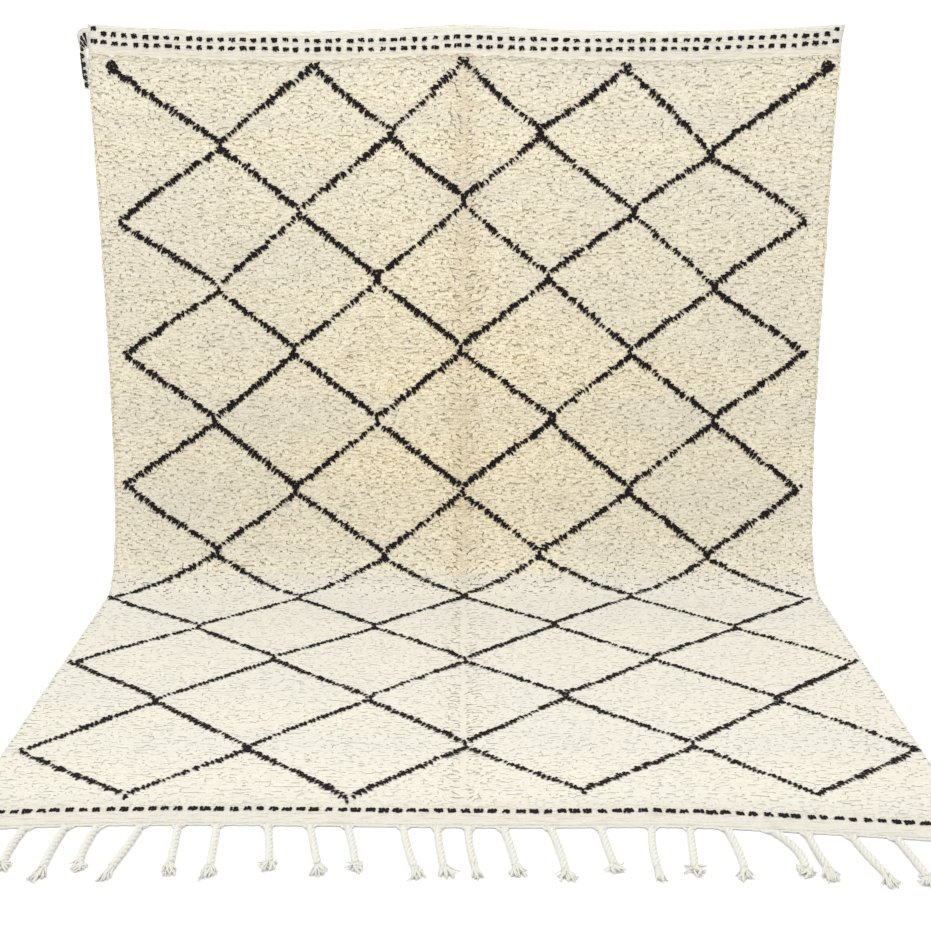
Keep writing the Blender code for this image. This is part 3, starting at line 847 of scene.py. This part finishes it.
def pile_tufts(settings, first, last):
    """Arrays of the tufts in rows first to last: a grid of knots, then strays, locks and wavy ridges."""
    rng = np.random.default_rng(settings.seed + first)
    row, column = np.meshgrid(np.arange(first, last), np.arange(settings.columns), indexing="ij")
    row, column = row.ravel().astype(float), column.ravel()
    count = row.size
    scatter = lambda size: rng.uniform(-size, size, count)
    pitch = (WIDTH - 2.0 * SIDE_MARGIN) / settings.columns
    knot_x = (column + 0.5) * pitch - WIDTH / 2 + SIDE_MARGIN
    start, end = top_edge(knot_x) + PILE_START, near_edge(knot_x) - PILE_END
    gap = (end - start) / settings.rows
    knot_down = start + gap * (row + 0.5)

    # Which knots are dark, and where every tuft stands
    distance, slant = line_place(knot_x, knot_down + 0.6 * settings.dark_length, settings.bar)
    uneven = 1.0 + 0.12 * patchy(knot_x, knot_down, LINE_PATCHES) + scatter(0.10)
    dark = distance < 0.5 * settings.line_width * uneven * np.where(slant == 0.0, 0.75, 1.0)
    limit = WIDTH / 2 - 0.0035
    x = np.clip(knot_x + scatter(0.32) * pitch * (1.0 - 0.6 * dark), -limit, limit)
    down = knot_down + scatter(0.35) * gap * (1.0 - 0.5 * dark)
    lying = smooth((down - HANG_LENGTH + 0.05) / 0.08)
    near_end = smooth((end - down) / 0.03)

    # Ridges: a tuft reaches from its place on a ridge to a little past the ridge's end
    drift = patchy(x, down, TUFT_DRIFT)
    crease = np.exp(-(((x + CREASE_WANDER * drift) / CREASE_WIDTH) ** 2))
    sway = 0.9 * patchy(x, down, RIDGE_SWAY) + (0.8 - 0.4 * lying) * patchy(x, down, RIDGE_BREAKS)
    on_ridge = (down / settings.wavelet + sway + CREASE_TILT * np.abs(x) * crease) % 1.0
    relief = settings.loft * (1.0 - 0.88 * lying) * (1.0 + 0.4 * patchy(x, down, LOFT_PATCHES))
    relief = relief * (0.25 + 0.75 * near_end) * (1.0 + 0.3 * crease)
    loose = np.minimum(0.0030 * rng.exponential(1.0, count), 0.008) * (1.0 - 0.5 * lying)
    length = (1.0 - on_ridge) * settings.wavelet + settings.overlap + loose + scatter(0.0012)
    length = length * (0.55 + 0.45 * near_end)
    at_bend = smooth(on_ridge + BEND_SHARE * length / settings.wavelet)
    falling = bed_height(x, down) - bed_height(x, down + length)

    # How far each tuft strays, leans and stands off the bed
    outward = smooth((np.abs(x) - 0.975) / 0.02) * np.sign(x)
    parting = 0.013 * crease * np.tanh(x / 0.006)
    stray = settings.tangle * (0.5 * drift + scatter(0.45)) - parting + 0.0015 * outward
    dark_stray = 0.60 * settings.dark_length * slant + scatter(0.0020)
    reach = WIDTH / 2 - 0.002
    inner = 0.5 + 0.5 * smooth((WIDTH / 2 - np.abs(x)) / 0.012)
    dark_lean = settings.dark_length * (1.0 - 0.2 * lying) * (1.0 + scatter(0.2))
    dark_bend = 0.0066 - 0.0036 * lying + 0.0016 * crease
    white_bend = relief * (0.10 + 0.55 * at_bend) + scatter(0.0004) * (1.0 - 0.8 * lying)
    dark_tip = 0.0060 - 0.0040 * lying + 0.0016 * crease
    white_tip = (relief * 0.36 + scatter(0.0004)) * (1.0 - lying) - 0.0004 * lying
    width = np.where(dark, settings.dark_width, settings.tuft_width * inner) * (1.0 + scatter(0.15))
    tone = np.clip(rng.normal(0.05, 0.05, count) + 0.2 * (rng.random(count) < 0.03), 0.0, 1.0)
    # painted shade along the crease, where the pile parts
    crease_shade = 0.8 * crease * (1.0 - 0.75 * lying) * (0.2 + 0.8 * rng.random(count))
    above = BED_COVER + TUFT_SINK
    tufts = {
        "x": x,
        "down": down,
        "root": bed_height(x, down) - TUFT_SINK,
        "lean_x": np.clip(np.where(dark, dark_stray, stray), -reach - x, reach - x),
        "lean_down": np.where(dark, dark_lean, length),
        "bend": above + np.where(dark, dark_bend, white_bend) - BEND_SHARE * falling,
        "tip": above + np.where(dark, dark_tip, white_tip) - falling,
        "width": width * (1.0 + 0.22 * dark * lying),
        "thick": np.where(dark, 0.0016, 0.0003),
        "blunt": np.where(dark, 0.5, 0.85),
        "fall": np.where(dark, 0.3, 0.75 - 0.5 * lying),
        # start and gain: painted shade, darker where a tuft lies under the ridge above and near the bed
        "start": (on_ridge - SHADE_LIFTS_FROM) / SHADE_LIFTS_OVER,
        "gain": length / settings.wavelet / SHADE_LIFTS_OVER,
        "dark": dark.astype(float),
        # tone: random tone, and the painted shade of the crease
        "tone": tone * (1.0 - 0.7 * lying) + crease_shade,
        "warm": np.clip(warm_shade_and_bands(x, down) + scatter(0.04), 0.0, 1.0),
    }

    # A second tuft beside most dark ones closes the lines
    doubled = dark & (rng.random(count) < 1.0 - 0.65 * lying)
    second = {key: values[doubled] for key, values in tufts.items()}
    more = doubled.sum()
    beside = second["x"] + 0.5 * pitch * rng.choice([-1.0, 1.0], more)
    second["x"] = np.clip(beside, SIDE_MARGIN - WIDTH / 2, WIDTH / 2 - SIDE_MARGIN)
    second["down"] = second["down"] + 0.0030 * rng.uniform(-1.0, 1.0, more)
    second["lean_x"] = second["lean_x"] * rng.uniform(0.4, 1.1, more)
    return joined(tufts, second)

def warm_shade_and_bands(x, down):
    """How golden the wool is, as painted shade and in slow bands: most in the middle of the hang, which takes
    less light than the floor and is darker there, and little on the floor.
    """
    hanging = 1.0 - smooth((down - HANG_LENGTH + 0.13) / 0.06)
    # painted shade: more golden in the middle of the hang
    middle = np.exp(-((x / 0.42) ** 2)) * np.exp(-(((down - 1.05) / 0.55) ** 2))
    bands = 0.12 * soft_noise(down / 0.06, down * 0.0, 41) + 0.10 * soft_noise(x / 0.2, down / 0.12, 42)
    # golden on the hang, which takes less light than the floor, is painted shade; the bands are slow tone
    golden = hanging * (0.50 + 0.40 * middle + bands) + (1.0 - hanging) * (0.12 + 0.5 * bands)
    return np.clip(golden, 0.0, 1.0)


def dot_tufts(centres, sizes, rng):
    """Arrays of short dark tufts, seven in each dot: two staggered rows that fill a small rounded square."""
    spots = np.array(DOT_SPOTS)
    dots, each = len(centres), len(spots)
    x = (centres[:, None, 0] + sizes[:, None, 0] * spots[None, :, 0]).ravel()
    down = (centres[:, None, 1] + sizes[:, None, 1] * spots[None, :, 1]).ravel()
    count = dots * each
    scatter = lambda size: rng.uniform(-size, size, count)
    width, length = np.repeat(sizes[:, 0], each), np.repeat(sizes[:, 1], each)
    return {
        "x": x + scatter(0.0009),
        "down": down + scatter(0.0008),
        "root": np.full(count, GROUND_THICKNESS - 0.0012),
        "lean_x": scatter(0.0022),
        "lean_down": length * rng.uniform(0.50, 0.75, count),
        "bend": rng.uniform(0.0030, 0.0044, count),
        "tip": rng.uniform(0.0012, 0.0030, count),
        "width": 0.48 * width * rng.uniform(0.85, 1.15, count),
        "thick": np.full(count, 0.0014),
        "blunt": np.full(count, 0.7),
        "fall": np.full(count, 0.3),
        "start": np.zeros(count),
        "gain": np.ones(count),
        "dark": np.ones(count),
        "tone": np.zeros(count),
        "warm": np.zeros(count),
    }


def joined(*groups):
    """One set of tuft arrays from several."""
    return {key: np.concatenate([group[key] for group in groups]) for key in groups[0]}


def dot_level(x, below):
    """Level of a row of dots below the top edge: it stays lower in the middle and rises at the corners."""
    corner = (0.050 - below) * 0.45 * smooth((np.abs(x) - 0.945) / 0.045)
    return top_edge(x) + below + 0.009 * np.exp(-((x / 0.32) ** 2)) - corner


def dots_in_row(first, last, spacing, level, size, rng):
    """Centres and sizes of a row of uneven dots at `level(x)` down."""
    x = np.arange(first, last, spacing)
    x = x + rng.uniform(-0.0022, 0.0022, x.size)
    down = level(x) + rng.uniform(-0.0014, 0.0014, x.size)
    sizes = np.array(size) * rng.uniform(0.82, 1.18, (x.size, 2))
    return np.stack([x, down], axis=-1), sizes


def tassel_centre(tassel, q):
    """A tassel's middle line on the floor, at shares q of its length: a slant plus a parabola's bow."""
    x = tassel["root_x"] + tassel["lean"] * q + 4.0 * tassel["bow"] * q * (1.0 - q)
    y = edge_y(tassel["root_x"]) - FRINGE_START - q * tassel["length"]
    return np.stack([x, y], axis=-1)


def ply_paths(settings, tassel, rng):
    """The yarns of one tassel: they fan out from the heading, then wind round the middle line in a helix."""
    rope_end = tassel["length"] - FRAY_LENGTH
    run = np.linspace(-0.007, rope_end, 40)
    centre = tassel_centre(tassel, run / tassel["length"])
    phase = rng.uniform(0.0, 2.0 * math.pi)
    k = np.arange(settings.plies)[:, None]
    angle = phase + 2.0 * math.pi * (run[None] / settings.pitch + k / settings.plies)
    offset = settings.ply_radius * 0.88 * (1.0 + 0.06 * np.sin(run * 190.0 + phase))
    side, up = offset * np.cos(angle), offset * np.sin(angle)
    fan = (k - (settings.plies - 1) / 2) * 0.0120
    gathered = smooth((run[None] + 0.003) / 0.020)
    x = centre[None, :, 0] + gathered * side + (1.0 - gathered) * fan
    z = gathered * (settings.ply_radius * 2.02 + up) + (1.0 - gathered) * 0.0026
    y = np.broadcast_to(centre[None, :, 1], x.shape)
    at_end = smooth((run[None] - rope_end + 0.01) / 0.01)
    radii = settings.ply_radius * (0.55 + 0.45 * gathered) * (1.0 - 0.12 * at_end)
    return np.stack([x, y, z], axis=-1), np.broadcast_to(radii, x.shape)


def strand_paths(settings, tassel, rng):
    """The loose strands of one tassel: curves from the rope's end that spread and curl over the floor."""
    count, stations = settings.strands, 7
    part, spread, curl = FRAYS[tassel["fray"]]
    t = np.linspace(0.0, 1.0, stations)[None, :]
    scatter = lambda size: rng.uniform(-size, size, (count, 1))
    rope_end = tassel["length"] - 0.030 + 0.006 * scatter(1.0)
    start = tassel_centre(tassel, rope_end[:, 0] / tassel["length"])
    ahead = tassel_centre(tassel, np.array([0.75, 0.85]))
    heading = np.arctan2(*(ahead[1] - ahead[0])[::-1])
    half = np.where(rng.random((count, 1)) < 0.55, -1.0, 1.0)
    angle = heading + 0.5 * part * half + scatter(spread) + curl * scatter(1.0) * t
    long_part = np.where(half < 0, 1.15, 0.85) if part else 1.0
    reach = 0.030 * long_part * rng.uniform(0.55, 1.15, (count, 1))
    reach = reach * (0.75 if tassel["fray"] == "ball" else 1.25 if tassel["fray"] == "tail" else 1.0)
    step = reach / (stations - 1)
    dx, dy = step * np.cos(angle), step * np.sin(angle)
    inside = scatter(0.0042)
    x = start[:, :1] + inside + np.cumsum(dx, axis=1) - dx
    y = start[:, 1:] + np.cumsum(dy, axis=1) - dy
    high = 0.0062 + scatter(0.0040)
    low = rng.uniform(0.0014, 0.0075, (count, 1))
    z = high + (low - high) * smooth(t) + 0.0022 * np.sin(math.pi * t)
    radii = settings.strand_radius * rng.uniform(0.8, 1.35, (count, 1)) * (1.0 - 0.40 * t**2)
    return np.stack([x, y, np.maximum(z, 0.0014)], axis=-1), radii


def heading_path():
    """The twined heading: a low cord along the near edge."""
    x = np.linspace(-WIDTH / 2 + 0.002, WIDTH / 2 - 0.002, 260)
    y = edge_y(x) - 0.0026 + 0.0009 * np.sin(x * 260.0)
    return np.stack([x, y, np.full_like(x, 0.0026)], axis=-1)[None]


# ---------------------------------------------------------------- operators


def keep(thing, node):
    """The piece rides on the rug's body and stands for a CAD node, which is hidden."""
    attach(thing, "root")
    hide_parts(node)
    return thing



class RUG_OT_weave_ground(bpy.types.Operator):
    """Weave the ground with its end bands and the loose tail"""

    bl_idname = "rug.weave_ground"
    bl_label = "Weave ground"

    def execute(self, context):
        colours = context.scene.rug_colours
        keep(ground_piece(colours), "rug")
        return {"FINISHED"}


class RUG_OT_knot_pile(bpy.types.Operator):
    """Knot the pile, with the diamond lattice in dark wool"""

    bl_idname = "rug.knot_pile"
    bl_label = "Knot pile"

    def execute(self, context):
        pile, colours = context.scene.rug_pile, context.scene.rug_colours
        material = wool_pile(colours)
        cuts = np.linspace(0, pile.rows, PILE_PIECES + 1).astype(int)
        for number, (first, last) in enumerate(zip(cuts[:-1], cuts[1:]), start=1):
            tufts = pile_tufts(pile, first, last)
            keep(tuft_mesh(f"pile_{number}", on_cloth, tufts, material), "rug")
        return {"FINISHED"}


class RUG_OT_knot_dots(bpy.types.Operator):
    """Knot the rows of dark dots in the two bands and on the tail"""

    bl_idname = "rug.knot_dots"
    bl_label = "Knot dots"

    def execute(self, context):
        bands = context.scene.rug_bands
        material = bpy.data.materials["knotted_wool_pile"]
        rng = np.random.default_rng(bands.seed)
        rows = [
            dots_in_row(*TOP_DOT_SPAN, bands.top_spacing, lambda x: dot_level(x, below), TOP_DOT, rng)
            for below in TOP_DOT_LEVELS
        ]
        near_level = lambda x: near_edge(x) - bands.near_row
        rows.append(dots_in_row(*NEAR_DOT_SPAN, bands.near_spacing, near_level, NEAR_DOT, rng))
        selvedge_down = np.arange(0.094, 0.168, 0.0052)
        selvedge = np.stack([np.full_like(selvedge_down, 0.0012 - WIDTH / 2), selvedge_down], axis=-1)
        rows.append((selvedge, np.full(selvedge.shape, SELVEDGE_DOT)))
        groups = [dot_tufts(centres, sizes, rng) for centres, sizes in rows]
        keep(tuft_mesh("band_dots", on_cloth, joined(*groups), material), "rug")
        level = lambda down: lambda x: np.full_like(x, down)
        bars = dots_in_row(0.010 - TAIL_LENGTH, -0.012, 0.0185, level(0.024), TAIL_BAR, rng)
        spine = dots_in_row(0.030 - TAIL_LENGTH, -0.090, 0.0050, level(0.0060), TAIL_DOT, rng)
        tail = joined(dot_tufts(*bars, rng), dot_tufts(*spine, rng))
        keep(tuft_mesh("tail_dots", on_tail, tail, material), "rug")
        return {"FINISHED"}


class RUG_OT_twist_fringe(bpy.types.Operator):
    """Twist the tassels of the fringe, fray their ends and twine their heading"""

    bl_idname = "rug.twist_fringe"
    bl_label = "Twist fringe"

    def execute(self, context):
        fringe, colours = context.scene.rug_fringe, context.scene.rug_colours
        material = twisted_warp(colours)
        rng = np.random.default_rng(fringe.seed)
        plies, strands = [], []
        for row in TASSELS:
            tassel = dict(zip(TASSEL_COLUMNS, row))
            plies.append(ply_paths(fringe, tassel, rng))
            strands.append(strand_paths(fringe, tassel, rng))
        for name, made, sides in (("tassel_plies", plies, 6), ("tassel_strands", strands, 4)):
            paths = np.concatenate([path for path, _ in made])
            radii = np.concatenate([radius for _, radius in made])
            keep(tube_mesh(name, paths, radii, sides, material), "fringe")
        heading = heading_path()
        radii = np.full(heading.shape[:2], HEADING_RADIUS)
        keep(tube_mesh("fringe_heading", heading, radii, 8, material), "fringe")
        return {"FINISHED"}


class RUG_OT_set_stage(bpy.types.Operator):
    """Lay the studio floor and set the soft lights and the camera"""

    bl_idname = "rug.set_stage"
    bl_label = "Set stage"

    def execute(self, context):
        stage, colours = context.scene.rug_stage, context.scene.rug_colours
        half = 14.0
        corners = np.array([(-half, -half, 0.0), (half, -half, 0.0), (half, half, 0.0), (-half, half, 0.0)])
        corners[:, 2] = -0.0006
        floor = mesh_object("studio_floor", corners, np.arange(4), np.array([4]), studio_floor(colours))
        world = bpy.data.worlds.new("soft_white")
        world.use_nodes = True
        world.node_tree.nodes["Background"].inputs["Color"].default_value = (1.0, 1.0, 1.0, 1.0)
        world.node_tree.nodes["Background"].inputs["Strength"].default_value = stage.sky
        context.scene.world = world
        for name, place, turn, size, power in (
            ("overhead_softbox", (0.0, -0.6, 3.6), (0.0, 0.0, 0.0), 2.6, stage.overhead),
            ("front_softbox", (-2.2, -3.4, 2.6), (62.0, 0.0, -33.0), 2.0, stage.front),
        ):
            light = bpy.data.lights.new(name, "AREA")
            light.size, light.energy = size, power
            lamp = bpy.data.objects.new(name, light)
            lamp.location, lamp.rotation_euler = place, [math.radians(angle) for angle in turn]
            context.scene.collection.objects.link(lamp)
        camera = bpy.data.cameras.new("viewing_camera")
        camera.lens, camera.sensor_width = stage.lens, 36.0
        viewer = bpy.data.objects.new("viewing_camera", camera)
        viewer.location = (0.005, -2.596, 1.433)
        viewer.rotation_euler = (math.pi / 2 - stage.pitch, 0.0, 0.0)
        context.scene.collection.objects.link(viewer)
        context.scene.camera = viewer
        context.scene.view_settings.view_transform = "Standard"
        return {"FINISHED"}


class RUG_PT_panel(bpy.types.Panel):
    """Sizes, colours and steps of the rug"""

    bl_idname = "RUG_PT_panel"
    bl_label = "Beni Ourain Rug"
    bl_space_type = "VIEW_3D"
    bl_region_type = "UI"
    bl_category = "Rug"

    def draw(self, context):
        for title, group, step in (
            ("Ground and bands", context.scene.rug_bands, RUG_OT_weave_ground),
            ("Pile", context.scene.rug_pile, RUG_OT_knot_pile),
            ("Dots", None, RUG_OT_knot_dots),
            ("Fringe", context.scene.rug_fringe, RUG_OT_twist_fringe),
            ("Colours", context.scene.rug_colours, None),
            ("Stage", context.scene.rug_stage, RUG_OT_set_stage),
        ):
            box = self.layout.box()
            box.label(text=title)
            for name in group.__annotations__ if group else ():
                box.prop(group, name)
            if step:
                box.operator(step.bl_idname)


GROUPS = {
    "rug_pile": RugPileSettings,
    "rug_bands": RugBandSettings,
    "rug_fringe": RugFringeSettings,
    "rug_colours": RugColours,
    "rug_stage": RugStageSettings,
}
OPERATORS = (RUG_OT_weave_ground, RUG_OT_knot_pile, RUG_OT_knot_dots, RUG_OT_twist_fringe, RUG_OT_set_stage)


def register():
    for kind in (*GROUPS.values(), *OPERATORS, RUG_PT_panel):
        bpy.utils.register_class(kind)
    for name, kind in GROUPS.items():
        setattr(bpy.types.Scene, name, PointerProperty(type=kind))


def unregister():
    for name in GROUPS:
        delattr(bpy.types.Scene, name)
    for kind in reversed((*GROUPS.values(), *OPERATORS, RUG_PT_panel)):
        bpy.utils.unregister_class(kind)


def declare_cloth():
    """Names of the rug's pieces on its cloth: the pile, dots and fringe. Nothing is done with the names."""
    names = [f"pile_{number}" for number in range(1, PILE_PIECES + 1)]
    names += ["band_dots", "tail_dots", "tassel_plies", "tassel_strands", "fringe_heading"]

def main():
    register()
    for kind in OPERATORS:
        group, step = kind.bl_idname.split(".")
        getattr(getattr(bpy.ops, group), step)()
    declare_cloth()


if __name__ == "__main__":
    main()
